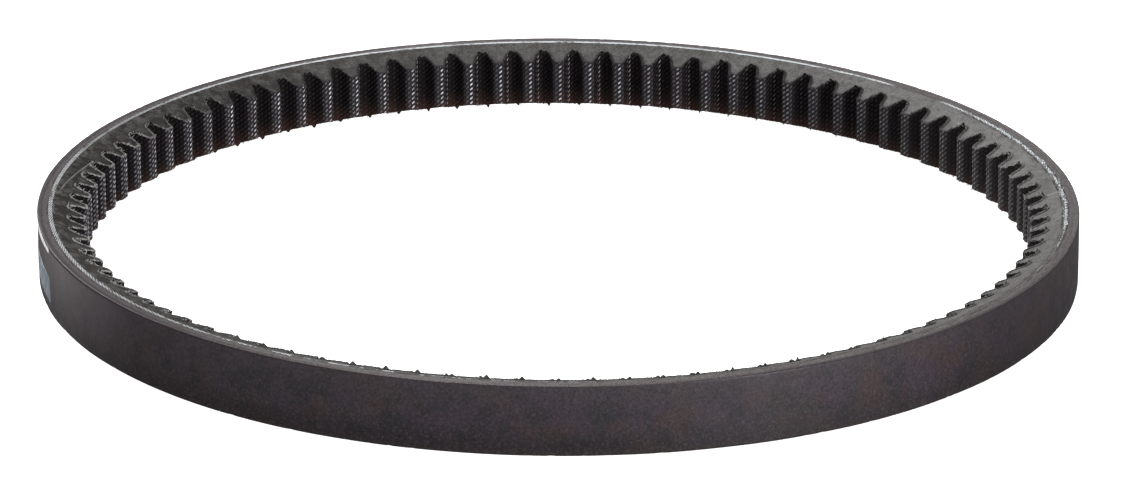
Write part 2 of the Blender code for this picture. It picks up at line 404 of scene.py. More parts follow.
def fibre_rubber():
    """Ground grey flank with fine fibres, smudges, sooty patches, and painted light and shade."""
    s = Shader("fibre_rubber", 0.6, 0.25)
    clouds = s.between(s.noise(7 * MM, 4), 0.35, 0.65)
    base = s.mix(clouds, (0.058, 0.054, 0.050), (0.092, 0.088, 0.084))
    dark_clouds = s.between(s.noise(3.0 * MM, 5, 0.65), 0.46, 0.60, 0.0, 0.8)
    base = s.mix(dark_clouds, base, (0.030, 0.027, 0.021))
    pale_spots = s.between(s.noise(1.1 * MM, 5, 0.65), 0.52, 0.75, 0.0, 0.5)
    base = s.mix(pale_spots, base, (0.13, 0.127, 0.122))
    fibres = s.noise(0.3 * MM, 4, 0.75)
    base = s.mix(s.between(fibres, 0.50, 0.64, 0.0, 0.6), base, (0.17, 0.166, 0.163))
    base = s.mix(s.between(fibres, 0.36, 0.50, 0.8, 0.0), base, (0.026, 0.023, 0.021))
    # Painted light with dusty dirt: the flank is paler on the dusty stretch.
    base = s.mix(s.attribute("dust"), base, (0.15, 0.147, 0.147))
    patches = s.between(s.noise(2.2 * MM, 5, 0.65), 0.42, 0.58, 0.15, 1.5)
    smudges = s.between(s.noise(1.6 * MM, 5, 0.7), 0.50, 0.64, 0.0, 0.65)
    base = s.mix(smudges, base, (0.030, 0.026, 0.023))
    # Painted shade with sooty dirt: sooty patches darken the flank on the sooty stretch.
    base = s.mix(s.maths("MULTIPLY", s.attribute("soot"), patches), base, (0.014, 0.011, 0.009))
    # Painted shade with some grime near the notch outlines, painted shadow where the flank meets the
    # facing, painted shade from turn 0.48 to 0.80, and smudges by the radial splice.
    base = s.mix(s.attribute("stain"), base, (0.016, 0.014, 0.013))
    base = s.mix(s.attribute("seam"), base, (0.22, 0.215, 0.21))
    # Painted shade: the pits beside the cord are painted near black.
    base = s.mix(s.attribute("pits"), base, (0.007, 0.006, 0.006))
    s.gloss(s.between(s.attribute("soot"), 0.1, 0.7, 0.25, 0.12))
    normal = s.bump(s.noise(0.16 * MM, 4, 0.7), 0.04 * MM)
    return s.finish(base, s.between(s.noise(0.9 * MM, 4), 0.3, 0.7, 0.48, 0.72), normal)


def facing_fabric():
    """Twill drawn from the developed length and height of each point, brightest on worn crests, which also
    carry painted highlights.
    """
    s = Shader("facing_fabric", 0.55, 0.3)
    length, height = s.attribute("developed"), s.attribute("height")
    along_ribs = s.maths("MULTIPLY", length, RIB_SLOPE / RIB_SPACING)
    rib = s.maths("ADD", along_ribs, s.maths("MULTIPLY", height, 1 / RIB_SPACING))
    ridge = s.between(s.maths("COSINE", s.maths("MULTIPLY", rib, 2 * math.pi)), 0.15, 0.85)
    column = s.maths("COSINE", s.maths("MULTIPLY", length, 2 * math.pi / COLUMN_SPACING))
    crown = s.maths("MULTIPLY", ridge, s.between(column, 0.75, 0.1))
    fuzz = s.noise(0.16 * MM, 4, 0.75)
    uneven = s.between(s.noise(0.9 * MM, 2), 0.35, 0.62, 0.35, 1.0)
    # Painted highlight with wear: the pale columns of floats.
    worn = s.maths("MULTIPLY", s.maths("MULTIPLY", crown, uneven), s.attribute("wear"))
    tint = s.mix(s.between(s.noise(5 * MM, 2), 0.5, 0.66), (0.58, 0.58, 0.62), (0.44, 0.36, 0.40))
    # Painted light: the pale threads deep in the notches are painted brighter and redder.
    tint = s.mix(s.attribute("sunk"), tint, (0.60, 0.50, 0.52))
    low = s.between(s.height(), -HALF, -1 * MM, 0.9, 0.0)
    # Painted shade: the facing's base is darker deep in the notches.
    base = s.mix(s.attribute("sunk"), (0.010, 0.0085, 0.011), (0.0065, 0.0055, 0.006))
    base = s.mix(low, base, (0.034, 0.017, 0.013))
    # Painted light: the facing is painted paler grey from turn 0 to about a quarter turn.
    base = s.mix(s.attribute("dust"), base, (0.060, 0.055, 0.052))
    # Painted shade: the weave shows less deep in the notches.
    weave = s.maths("MULTIPLY", crown, s.between(s.attribute("sunk"), 0.1, 0.7, 0.3, 0.08))
    base = s.mix(weave, base, (0.026, 0.021, 0.024))
    base = s.mix(s.between(fuzz, 0.55, 0.8, 0.0, 0.4), base, (0.04, 0.036, 0.038))
    base = s.mix(worn, base, tint)
    frayed = s.between(s.noise(0.3 * MM, 4, 0.75), 0.38, 0.62)
    rim = s.mix(frayed, (0.030, 0.027, 0.025), (0.13, 0.125, 0.122))
    # Painted shade with sooty dirt: the cut rim of the facing darkens on the sooty stretch.
    rim = s.mix(s.maths("MULTIPLY", s.attribute("soot"), 0.9), rim, (0.014, 0.011, 0.009))
    base = s.mix(s.attribute("rim"), base, rim)
    threads = s.maths("MULTIPLY", s.attribute("pale"), s.between(fuzz, 0.32, 0.46))
    base = s.mix(threads, base, (0.40, 0.385, 0.38))
    normal = s.bump(crown, 0.07 * MM, under=s.bump(fuzz, 0.03 * MM))
    s.gloss(s.between(s.attribute("sunk"), 0.1, 0.6, 0.3, 0.04))
    return s.finish(base, s.between(crown, 0.2, 1.0, 0.8, 0.5), normal)


def polyester_cord():
    """Pale strands with dark gaps between them, torn in places and smeared with gum in others."""
    s = Shader("polyester_cord", 0.6, 0.3)
    strands = s.between(s.attribute("strand"), 0.02, 0.60)
    base = s.mix(strands, (0.11, 0.115, 0.12), (0.66, 0.70, 0.725))
    base = s.mix(s.between(s.noise(1.7 * MM, 4), 0.52, 0.7, 0.0, 0.35), base, (0.36, 0.37, 0.39))
    patches = s.between(s.noise(0.4 * MM, 4, 0.75), 0.4, 0.65)
    gum = s.mix(patches, (0.045, 0.038, 0.040), (0.10, 0.092, 0.094))
    torn = s.between(s.noise(0.8 * MM, 3, 0.7), 0.42, 0.50, 1.0, 0.0)
    base = s.mix(s.maths("MULTIPLY", s.attribute("torn"), torn), base, (0.022, 0.019, 0.019))
    base = s.mix(s.attribute("smear"), base, gum)
    normal = s.bump(s.noise(0.07 * MM, 2), 0.02 * MM)
    return s.finish(base, None, normal)


def mark_ink(name, dull, bright):
    """Thin transfer ink with worn spots."""
    s = Shader(name, 0.45, 0.4)
    base = s.mix(s.between(s.noise(1.8 * MM, 4), 0.4, 0.65), dull, bright)
    base = s.mix(s.between(s.noise(0.5 * MM, 4, 0.7), 0.6, 0.75, 0.0, 0.7), base, (0.17, 0.165, 0.17))
    normal = s.bump(s.noise(0.3 * MM, 3), 0.03 * MM)
    return s.finish(base, s.between(s.noise(0.8 * MM), 0.3, 0.7, 0.4, 0.6), normal)


def floor_paint():
    s = Shader("floor_paint", 0.9, 0.1)
    base = s.mix(s.between(s.noise(0.05, 2), 0.3, 0.7), (0.90, 0.90, 0.90), (0.915, 0.915, 0.915))
    s.shader.inputs["Emission Color"].default_value = (1, 1, 1, 1)
    s.shader.inputs["Emission Strength"].default_value = 1.0
    return s.finish(base, None, s.bump(s.noise(0.6 * MM, 2), 0.01 * MM))


# ---- Cover and gum plies


def placed(piece, slot, *nodes):
    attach(piece, "root")
    if nodes:
        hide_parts(*nodes)
    return piece


RING_STEPS = COGS * 16
CREASE = math.radians(50)  # sides that meet at more than this keep a crisp edge
CUT_SINK = 0.05 * MM  # how far the knife leaves the soft plies below the cover's cut edge


def tone_of(turn):
    """How sooty and how dusty the cut side is round the belt. The sooty stretch, turn 0.42 to 0.85, is
    partly painted shade; the dusty stretch, turn 0.08 to 0.34, is partly painted light.
    """
    place = turn % 1
    soot = np.interp(place, (0.33, 0.42, 0.49, 0.64, 0.74, 0.85), (0.0, 0.10, 0.50, 0.72, 0.74, 0.0))
    dust = np.interp(place, (0.08, 0.16, 0.20, 0.25, 0.34), (0.08, 0.15, 0.32, 0.28, 0.06))
    return {"soot": soot, "dust": dust}


def make_cover():
    """The outer ply: a smooth back face, cut edges with small nicks."""
    corners = [(0, -HALF), (0, HALF), (COVER_END, HALF), (COVER_END, -HALF)]
    outline = refined(rounded(corners, 0.20 * MM, kept_sharp=(2, 3)), 0.45 * MM)
    turn = np.arange(RING_STEPS)[:, None] / RING_STEPS
    depth, height = outline[None, :, 0], outline[None, :, 1]
    swell = waves(turn, height, 1, 30, 40, 5 * MM) * 0.02 * MM
    edge = np.clip((np.abs(height) - HALF + 0.4 * MM) / (0.4 * MM), 0, 1)
    ragged = waves(turn, np.sign(height), 2, 60, 240, 1.0)
    nicks = edge * np.clip(np.abs(ragged) - 1.2, 0, 1.5) * 0.04 * MM
    cut = np.clip((np.abs(height) - HALF + 0.035 * MM) / (0.03 * MM), 0, 1)
    soft = np.interp(turn, (0.0, 0.04, 0.10, 0.88, 0.96), (0.95, 0.8, 0.0, 0.0, 0.95))
    cut = cut * (1 - soft * np.interp(depth, (0.2 * MM, COVER_END), (1.0, 0.3)))
    depth = depth + np.where(depth < COVER_END / 2, swell + nicks, 0)
    height = height - np.sign(height) * nicks
    points = belt_points(turn, depth, height)
    # Painted shade on the back face: strongest from turn 0.03 to 0.14, fading out by a quarter turn, faint
    # round turn 0.71.
    places = (0.0, 0.03, 0.14, 0.25, 0.68, 0.71, 0.76, 0.98)
    shade = np.interp(turn, places, (0.05, 0.36, 0.42, 0.1, 0.0, 0.1, 0.05, 0.0))
    # Painted highlight on the back face, strongest at turn 0.69 and gone by turns 0.62 and 0.74.
    haze = np.interp(turn, (0.62, 0.66, 0.69, 0.715, 0.74), (0.0, 0.25, 0.55, 0.25, 0.0))
    piece = lofted("cover", points, cover_rubber(), crease=CREASE, cut=cut, shade=shade, haze=haze,
                   **tone_of(turn))
    return placed(piece, "cover_rubber", "backing_cover")


CRACKS = ((0.262, 0.305, 1.9 * MM), (0.558, 0.572, 2.0 * MM))  # first and last turn, and depth
FRAYED = (0.108, 0.222)  # the stretch of the upper edge where the knife has torn the cord
PITS = 60  # torn out of the gum beside it


def gum_ring(name, corners, seed, material, node):
    """A gum ply whose cut edges show fine ridges from the knife, a few cracks, and pits by the cord, with
    painted shade in the cracks, the pits and the grooves beside the cord.
    """
    outline = refined(np.asarray(corners), 0.12 * MM, 9 * MM)
    turn = np.arange(RING_STEPS)[:, None] / RING_STEPS
    depth, height = outline[None, :, 0], outline[None, :, 1]
    edge = np.abs(height) > 0.8 * HALF
    ridges = waves(turn, depth, seed, 60, 500, 0.1 * MM) * 0.010 * MM
    sink = waves(turn, depth * 0, seed + 1, 30, 90, 1.0) * 0.010 * MM
    crack = np.zeros(np.broadcast(turn, depth).shape)
    for first, last, at in CRACKS:
        within = np.clip((turn - first) * 300, 0, 1) * np.clip((last - turn) * 300, 0, 1)
        wander = 0.05 * MM * np.sin(turn * 900)
        crack = np.maximum(crack, within * np.exp(-(((depth - at - wander) / (0.12 * MM)) ** 2)))
    # Grooves beside the cord: sunk into the cut and painted near black as shade.
    beside_cord = [crossed(depth, CORD_DEPTH + aside * MM, 0.10 * MM) for aside in (-0.48, 0.50)]
    patchy = np.clip(0.45 + 0.45 * waves(turn, depth * 0, 25, 40, 160, 1.0), 0, 0.85)
    patchy = patchy * np.where(turn > 0.74, 0.15, 1.0)
    crack = np.maximum(crack, np.maximum(*beside_cord) * patchy)
    rng = np.random.default_rng(27)
    pits = np.zeros(crack.shape)
    for at, aside in zip(rng.uniform(*FRAYED, PITS), rng.choice((-0.46, 0.50), PITS)):
        pit = crossed(turn, at, 0.0018) * crossed(depth, CORD_DEPTH + aside * MM, 0.22 * MM)
        pits = np.maximum(pits, pit * (height > 0))
    crack = np.maximum(crack * (height > 0), pits)
    seam = crossed(turn * COGS, RADIAL_SPLICE_COG, 0.05) * (depth > 2.85 * MM)
    drop = ridges + sink - CUT_SINK - crack * 0.12 * MM
    height = height + np.where(edge, np.sign(height) * drop, 0)
    piece = lofted(name, belt_points(turn, depth, height), material, crease=CREASE, crack=crack, pits=pits,
                   seam=seam, **tone_of(turn))
    return placed(piece, "gum_rubber", node)


def make_gum(flank):
    """The two gum plies, which meet at the middle of the cord."""
    start, end = COVER_END, CORD_DEPTH
    corners = [(start, -HALF), (start, HALF), (end, HALF), (end, -HALF)]
    gum_ring("overcord", corners, 11, cut_gum(), "overcord_gum")
    inner = half_width(RUBBER_START)
    corners = [(end, -HALF), (end, HALF), (SHOULDER_DEPTH, HALF), (RUBBER_START, inner)]
    corners += [(RUBBER_START, -inner), (SHOULDER_DEPTH, -HALF)]
    gum_ring("undercord", corners, 21, flank, "undercord_gum")


# ---- Cord

STRANDS, TWIST_LENGTH = 3, 4.0 * MM
BAR_SLANT = 3.0
LAID_OPEN = CORD_RADIUS * 0.95  # half the width of cord that shows in the cut
# Stretches of the cut cord smeared with gum: (first turn, last turn, how much)
SMEARED = ((0.215, 0.225, 0.9), (0.232, 0.262, 1.0), (0.525, 0.585, 0.5), (0.56, 0.57, 1.0))
BRISTLES = 1000


def cord_run(name, material, first, last, step, around):
    """A stretch of the wound cord, first and last in turns of the winding, cut by the belt's edges."""
    count = math.ceil((last - first) * CORD_LINE / step)
    wound = np.linspace(first, last, count + 1)[:, None]
    turn = wound + CORD_HALVED_TURN
    centre = HALF + wound * CORD_PITCH
    around_angle = np.arange(around)[None, :] / around * 2 * math.pi
    along = wound * CORD_LINE
    lobe = 0.5 + 0.5 * np.cos(STRANDS * around_angle - 2 * math.pi * along * STRANDS / TWIST_LENGTH)
    radius = CORD_RADIUS * (0.90 + 0.10 * lobe)
    across, up = radius * np.cos(around_angle), radius * np.sin(around_angle)
    # Where an edge cuts the cord, its strands show as slanting bars on the cut face.
    slanted = along + across * BAR_SLANT
    bars = 0.5 + 0.5 * np.cos(2 * math.pi * slanted * STRANDS / TWIST_LENGTH)
    uneven = waves(wound / 40, wound * 0, 31, 40, 3000, 1.0)
    gaps = waves(wound / 40, wound * 0, 32, 60, 9000, 1.0)
    cut_at = HALF - (0.015 + 0.006 * uneven) * MM - (1 - bars) * 0.04 * MM
    height = centre + up
    cut = np.abs(height) > cut_at
    height = np.where(cut, np.sign(height) * cut_at, height)
    beyond = np.maximum(np.abs(centre) - cut_at, 0)
    chord = np.sqrt(np.maximum(CORD_RADIUS**2 - beyond**2, (0.02 * MM) ** 2))
    across = np.where(cut, np.clip(across, -chord, chord), across)
    points = belt_points(turn, CORD_DEPTH + across, height)
    share = turn - np.floor(turn)
    smear = np.clip((np.abs(across) - LAID_OPEN * (0.95 + 0.06 * gaps)) / (0.05 * MM), 0, 1)
    flecks = waves(wound / 40, wound * 0, 34, 80, 26000, 1.0)
    broken = np.interp(share, (0.48, 0.54, 0.74, 0.80), (0.0, 0.22, 0.22, 1.0)) * (centre > 0)
    smear = np.maximum(smear, np.clip((gaps + flecks) * 0.8 * broken + 0.8 * broken - 0.1, 0, 1.0))
    for start, end, amount in SMEARED:
        soft = np.clip((share - start) * 200, 0, 1) * np.clip((end - share) * 200, 0, 1)
        smear = np.maximum(smear, amount * soft * (centre > 0))
    places = (0.10, 0.22, 0.30, 0.46, 0.58, 0.74, 0.8)
    contrast = np.interp(share, places, (1.2, 1.2, 0.5, 0.7, 4.5, 4.0, 1.0))
    torn = np.clip((share - FRAYED[0]) * 60, 0, 1) * np.clip((FRAYED[1] - share) * 60, 0, 1)
    torn = torn * (centre > 0)
    grime = np.interp(share, (0.48, 0.58, 0.74, 0.80), (1.0, 0.62, 0.62, 1.0))
    strand = np.where(cut, bars, lobe) ** contrast * grime
    return lofted(name, points, material, endless=False, strand=strand, smear=smear, torn=torn)


def bristles(name, material, base, along, inwards, upwards, length, thickness, **attributes):
    """Short tapering threads, each bending from its base towards a mix of three directions."""
    rings, sides = 3, 4
    share = np.linspace(0, 0.8, rings)[None, :, None]
    step = 1e-4
    here = belt_points(*base)
    tangent = belt_points(base[0] + step, base[1], base[2]) - here
    tangent /= np.linalg.norm(tangent, axis=-1, keepdims=True)
    across = belt_points(base[0], base[1] + step, base[2]) - here
    across /= np.linalg.norm(across, axis=-1, keepdims=True)
    lift = np.array([0.0, 0.0, 1.0])
    heading = tangent * along[:, None] + across * inwards[:, None] + lift * upwards[:, None]
    heading /= np.linalg.norm(heading, axis=-1, keepdims=True)
    side = np.cross(heading, across + 0.3 * tangent)
    side /= np.linalg.norm(side, axis=-1, keepdims=True)
    other = np.cross(heading, side)
    path = here[:, None] + heading[:, None] * (share * length[:, None, None])
    path = path + side[:, None] * (share**2 * length[:, None, None] * 0.25)
    angle = np.arange(sides) / sides * 2 * math.pi
    ring = side[:, None] * np.cos(angle)[None, :, None] + other[:, None] * np.sin(angle)[None, :, None]
    radius = thickness[:, None, None, None] / 2 * (1 - 0.5 * share[..., None])
    tubes = path[:, :, None] + ring[:, None] * radius
    tip = here + heading * length[:, None] + side * (length * 0.25)[:, None]
    points = np.concatenate([tubes.reshape(len(here), -1, 3), tip[:, None]], axis=1)
    faces = [(0, 2, 1), (0, 3, 2)]
    for r in range(rings - 1):
        for k in range(sides):
            a, b = r * sides + k, r * sides + (k + 1) % sides
            faces += [(a, b, a + sides), (b, b + sides, a + sides)]
    last = (rings - 1) * sides
    faces += [(last + k, last + (k + 1) % sides, rings * sides) for k in range(sides)]
    faces = np.array(faces)[None] + (np.arange(len(here)) * points.shape[1])[:, None, None]
    values = {key: np.repeat(each, points.shape[1]) for key, each in attributes.items()}
    return mesh_object(name, points.reshape(-1, 3), faces.reshape(-1, 3), material, values)


def make_cord():
    """The winding: fine where the belt's edges lay it open, plain inside, frayed where it comes out."""
    material = polyester_cord()
    reach = CORD_RADIUS / CORD_PITCH + 0.01
    bottom = -TOP_WIDTH / CORD_PITCH
    upper = cord_run("cord_upper_run", material, -reach, reach, 0.11 * MM, 16)
    lower = cord_run("cord_lower_run", material, bottom - reach, bottom + reach, 0.14 * MM, 16)
    inner = cord_run("cord_inner_turns", material, bottom + reach, -reach, 3.1 * MM, 12)
    placed(upper, "polyester_cord", "tensile_cord")
    placed(lower, "polyester_cord")
    placed(inner, "polyester_cord")
    rng = np.random.default_rng(33)
    clumps = rng.uniform(*FRAYED, 46)
    count = BRISTLES
    turn = rng.choice(clumps, count) + turn_of(rng.normal(0, 0.55, count) * MM, CORD_DEPTH)
    depth = CORD_DEPTH + (rng.normal(0, 0.17, count) + 0.12 * np.sin(turn * 330)) * MM
    height = np.full(count, HALF - 0.12 * MM)
    along = rng.choice([-1.0, 1.0], count)
    length, thickness = rng.uniform(0.25, 0.75, count) * MM, rng.uniform(0.12, 0.23, count) * MM
    fray = bristles("cord_fray", material, (turn, depth, height), along, rng.normal(0, 0.6, count),
                    rng.uniform(0.0, 0.04, count), length, thickness,
                    strand=rng.uniform(0.15, 0.8, count), smear=(rng.random(count) < 0.22) * 1.0)
    placed(fray, "polyester_cord")


# ---- Cogs

ARC_POINTS, WALL_POINTS, CREST_POINTS = 60, 80, 60
PITCH_SAMPLES = 1200
CLOTH_SOFTNESS = 0.22 * MM  # how far the facing rounds off the corners of the cogs


def notch_line(offset):
    """Half a cog pitch, from a notch's middle to the crest's: length along the belt, and depth."""
    radius = ROOT_RADIUS + offset
    angle = np.linspace(0, math.pi / 2 - NOTCH_FLARE, ARC_POINTS)
    along = radius * np.sin(angle)
    depth = ROOT_DEPTH + ROOT_RADIUS - radius * np.cos(angle)
    crest = THICKNESS - offset
    mouth = along[-1] + (crest - depth[-1]) * math.tan(NOTCH_FLARE)
    along = np.concatenate([along, np.linspace(along[-1], mouth, WALL_POINTS)[1:]])
    depth = np.concatenate([depth, np.linspace(depth[-1], crest, WALL_POINTS)[1:]])
    half_pitch = math.pi * (MEAN_RADIUS - crest) / COGS
    along = np.concatenate([along, np.linspace(mouth, half_pitch, CREST_POINTS)[1:]])
    depth = np.concatenate([depth, np.full(CREST_POINTS - 1, crest)])
    return along, depth


def smoothed_cog(offset, softness):
    """A whole pitch with rounded corners: share of its length, turn in pitches, depth, and the length."""
    along, depth = notch_line(offset)
    turn = turn_of(along, depth) * COGS
    turn = np.concatenate([turn, (1 - turn)[::-1][1:]])
    depth = np.concatenate([depth, depth[::-1][1:]])
    flat = turn * 2 * math.pi * (MEAN_RADIUS - depth) / COGS
    length = np.concatenate([[0], np.cumsum(np.hypot(np.diff(flat), np.diff(depth)))])
    share = np.linspace(0, 1, PITCH_SAMPLES, endpoint=False)
    turn_at = np.interp(share * length[-1], length, turn) - share
    depth_at = np.interp(share * length[-1], length, depth)
    width = softness / length[-1] * PITCH_SAMPLES
    reach = int(4 * width)
    kernel = np.exp(-0.5 * (np.arange(-reach, reach + 1) / width) ** 2)
    kernel /= kernel.sum()

    def blurred(values):
        wrapped = np.concatenate([values[-reach:], values, values[:reach]])
        return np.convolve(wrapped, kernel, "valid")

    share = np.append(share, 1.0)
    turn_at, depth_at = blurred(turn_at), blurred(depth_at)
    turn_at, depth_at = np.append(turn_at, turn_at[0]) + share, np.append(depth_at, depth_at[0])
    return share, turn_at, depth_at, length[-1]


def cog_grid(first, last, offset, softness, columns):
    """Turn, depth and developed length of every column from one notch middle to another."""
    share, turn_at, depth_at, length = smoothed_cog(offset, softness)
    cells = np.arange(first, last)[:, None]
    turn = (cells + np.interp(columns, share, turn_at)[None, :]) / COGS
    depth = np.broadcast_to(np.interp(columns, share, depth_at), turn.shape)
    developed = (cells + columns[None, :]) * length
    closing = np.array([last / COGS]), np.array([depth[0, 0]]), np.array([last * length])
    return [np.append(grid.ravel(), end) for grid, end in zip((turn, depth, developed), closing)]


COLUMN_SPACING = smoothed_cog(0.0, CLOTH_SOFTNESS)[3] / COLUMNS_PER_COG


def rubber_length(name, material, first, last, node, scarf_first):
    """A length of the cogged rubber: ground flanks, notches, and a scarfed and a radial end."""
    offset = FACING + 0.02 * MM
    deep = np.linspace(0, 0.14, 6)
    columns = np.concatenate([deep, np.linspace(0.17, 0.83, 17), np.linspace(0.86, 1, 6)[:-1]])
    turn, floor, _ = cog_grid(first, last, offset, 0.12 * MM, columns)
    top = np.full_like(floor, RUBBER_START)
    cog = turn * COGS
    towards_cord = (cog - SCARF_ROOT_COG) / (SCARF_CORD_COG - SCARF_ROOT_COG)
    scarf = SCARF_ROOT_DEPTH - towards_cord * (SCARF_ROOT_DEPTH - SCARF_CORD_DEPTH)
    slanting = (cog >= SCARF_ROOT_COG) & (cog <= SCARF_CORD_COG)
    if scarf_first:
        lowered = np.minimum(scarf + 0.03 * MM, floor - 0.02 * MM)
        top = np.where(slanting, np.maximum(top, lowered), top)
    else:
        raised = np.maximum(scarf - 0.03 * MM, top + 0.02 * MM)
        floor = np.where(slanting, np.minimum(floor, raised), floor)
    rows = np.concatenate([np.linspace(0, 0.92, 15), [0.95, 0.975, 1.0]])
    depth = top[:, None] + (floor - top)[:, None] * rows[None, :]
    grid_turn = np.broadcast_to(turn[:, None], depth.shape)
    width = half_width(depth)
    rough = waves(grid_turn, depth, 41, 80, 700, 0.25 * MM) * 0.007 * MM
    crease = crossed(grid_turn * COGS + (depth - 4 * MM) / (3 * MM), COGS + 8.0, 0.035) * 0.05 * MM
    width = width + rough - crease - CUT_SINK
    near_scarf = np.where(slanting[:, None], crossed(depth, scarf[:, None], 0.10 * MM), 0)
    near_radial = crossed((grid_turn * COGS - 1) % COGS, RADIAL_SPLICE_COG - 1, 0.035)
    seam = np.clip(near_scarf + 0.9 * near_radial, 0, 1) * (depth < floor[:, None] + MM)
    # Painted shade with some grime: the flank darkens towards the notch outlines.
    stain = 0.75 * rows**8 * (0.6 + 0.4 * waves(grid_turn, depth, 43, 40, 900, MM))
    smudge = 0.45 * crossed(grid_turn * COGS % COGS, RADIAL_SPLICE_COG + 0.9, 0.6) * (rows < 0.75)
    # Painted shadow: a dark line along the flank where it meets the facing.
    line = np.clip(1 - (floor[:, None] - depth) / (0.24 * MM), 0, 1) * 0.85
    # Painted shade: the flank darkens towards the notches from turn 0.48 to 0.80.
    left = np.interp(grid_turn % 1, (0.48, 0.58, 0.72, 0.80), (0.0, 0.9, 0.9, 0.0)) * rows
    left = left * (0.7 + 0.3 * waves(grid_turn, depth, 44, 40, 500, 0.5 * MM))
    stain = np.clip(np.maximum(stain + smudge, line) + left, 0, 1)
    upper = belt_points(grid_turn, depth, width)
    lower = belt_points(grid_turn, depth, -width)[:, ::-1]
    loop = np.concatenate([upper, lower], axis=1)
    seam = np.concatenate([seam, seam[:, ::-1]], axis=1)
    stain = np.concatenate([stain, stain[:, ::-1]], axis=1)
    piece = lofted(name, loop, material, endless=False, crease=CREASE, seam=seam, stain=stain,
                   **tone_of(turn[:, None]))
    return placed(piece, "fibre_rubber", node)


FABRIC_ROWS, FABRIC_COLUMNS = 36, 48
# Tufts of the cut edge that stand proud in each notch, on each side: (place in the pitch, tallest in mm)
NUBS = {1: ((0.05, 0.78), (-0.07, 0.55)), -1: ((-0.13, 0.85),)}


def twill(developed, height):
    """Height of the weave from 0 to 1: slanting floats stacked in upright columns."""
    rib = (height + RIB_SLOPE * developed) / RIB_SPACING
    ridge = 0.5 + 0.5 * np.cos(2 * math.pi * rib)
    column = 0.5 - 0.5 * np.cos(2 * math.pi * developed / COLUMN_SPACING)
    return ridge * column**0.6


def wear_of(share, turn, rng):
    """How worn the cloth is across a pitch, with painted highlights on the same columns: palest along the
    crest, hardly at all deep in the notch.
    """
    place = turn % 1
    left, right = np.interp(place, (0.42, 0.54), (0, 1)), np.interp(place, (0.28, 0.375), (1, 0))
    wear = np.full(len(share), 0.03)
    for at, amount, more_left, more_right in WORN_COLUMNS:
        strength = np.maximum(0, amount + more_left * left + more_right * right)
        wear = np.maximum(wear, strength * crossed(share % 1, at, 0.034))
    return wear * rng.uniform(0.8, 1.15, len(share))


def fabric_dust(turn):
    """How much paler grey the facing is painted, as painted light: only on one stretch of the belt."""
    return np.interp(turn % 1, (0.0, 0.07, 0.18, 0.27), (0.15, 0.30, 0.30, 0.0))


def pale_at(turn):
    """Share of pale thread in the facing's cut edge: high on two stretches of the belt, low elsewhere."""
    places = (0.0, 0.06, 0.17, 0.26, 0.50, 0.60, 0.72, 0.80, 1.0)
    return np.interp(turn % 1, places, (0.4, 0.8, 0.8, 0.08, 0.06, 1.0, 1.0, 0.3, 0.4))


def fabric_length(name, material, first, last, node, seed):
    """A length of the twill facing: slanting floats, and cut edges that stand proud in the notches."""
    rng = np.random.default_rng(seed)
    columns = np.arange(FABRIC_COLUMNS) / FABRIC_COLUMNS
    turn, depth, developed = cog_grid(first, last, 0.0, CLOTH_SOFTNESS, columns)
    back_turn, back_depth, _ = cog_grid(first, last, FACING, 0.12 * MM, columns)
    across = np.linspace(-1, 1, FABRIC_ROWS)[None, :]
    height = across * half_width(depth)[:, None]
    points = belt_points(turn[:, None], depth[:, None], height)
    along_step = np.gradient(points, axis=0)
    across_step = np.gradient(points, axis=1)
    normal = np.cross(across_step, along_step)
    normal /= np.linalg.norm(normal, axis=-1, keepdims=True)
    inwards = -points[..., :2] / np.linalg.norm(points[..., :2], axis=-1, keepdims=True)
    facing_void = np.sign(np.median((normal[..., :2] * inwards).sum(-1)))
    lift = (twill(developed[:, None], height) * 0.14 - 0.08) * MM
    points = points + normal * facing_void * lift[..., None]
    share = developed / (COLUMN_SPACING * COLUMNS_PER_COG)
    in_notch = np.clip((THICKNESS - depth) / (1.5 * MM), 0, 1)
    nearest = np.round(share).astype(int) - first
    edges = {}
    for side in (-1, 1):
        ragged = np.clip(rng.normal(0.02, 0.05, len(depth)), 0, 0.15)
        for offset, tallest in NUBS[side]:
            height_of = rng.uniform(0.6 * tallest, tallest, last - first + 1)[nearest]
            at = offset + rng.uniform(-0.02, 0.02, last - first + 1)[nearest]
            ragged = np.maximum(ragged, height_of * crossed(share - np.round(share), at, 0.046))
        edges[side] = half_width(depth) + (0.02 + in_notch * ragged) * MM
    points[:, 0, 2] = -edges[-1]
    points[:, -1, 2] = edges[1]
    mid_turn, mid_depth = (turn + back_turn) / 2, (depth + back_depth) / 2
    rims = []
    for side in (1, -1):
        mid = belt_points(mid_turn, mid_depth, side * (edges[side] * 0.5 + half_width(mid_depth) * 0.5))
        back = belt_points(back_turn, back_depth, side * (half_width(back_depth) + 0.02 * MM))
        rims.append([mid[:, None], back[:, None]])
    loop = np.concatenate([points, rims[0][0], rims[0][1], rims[1][1], rims[1][0]], axis=1)
    pale, rim = np.zeros(loop.shape[:2]), np.zeros(loop.shape[:2])
    rim[:, FABRIC_ROWS:] = 1.0
    speckled = np.clip(rng.normal(0.5, 0.4, len(depth)), 0, 1) * pale_at(turn)
    pale[:, FABRIC_ROWS:] = speckled[:, None]
    piece = lofted(name, loop, material, endless=False, developed=developed[:, None], height=loop[..., 2],
                   # The wear attribute carries painted highlights as well as wear.
                   wear=wear_of(share, turn, rng)[:, None], pale=pale, sunk=in_notch[:, None],
                   dust=fabric_dust(turn)[:, None], rim=rim, soot=tone_of(turn[:, None])["soot"])
    return placed(piece, "facing_fabric", node)


THREADS_PER_EDGE = 18
EDGE_THREAD_RADIUS = 0.085 * MM
EDGE_SAMPLES, EDGE_SIDES = 92, 5


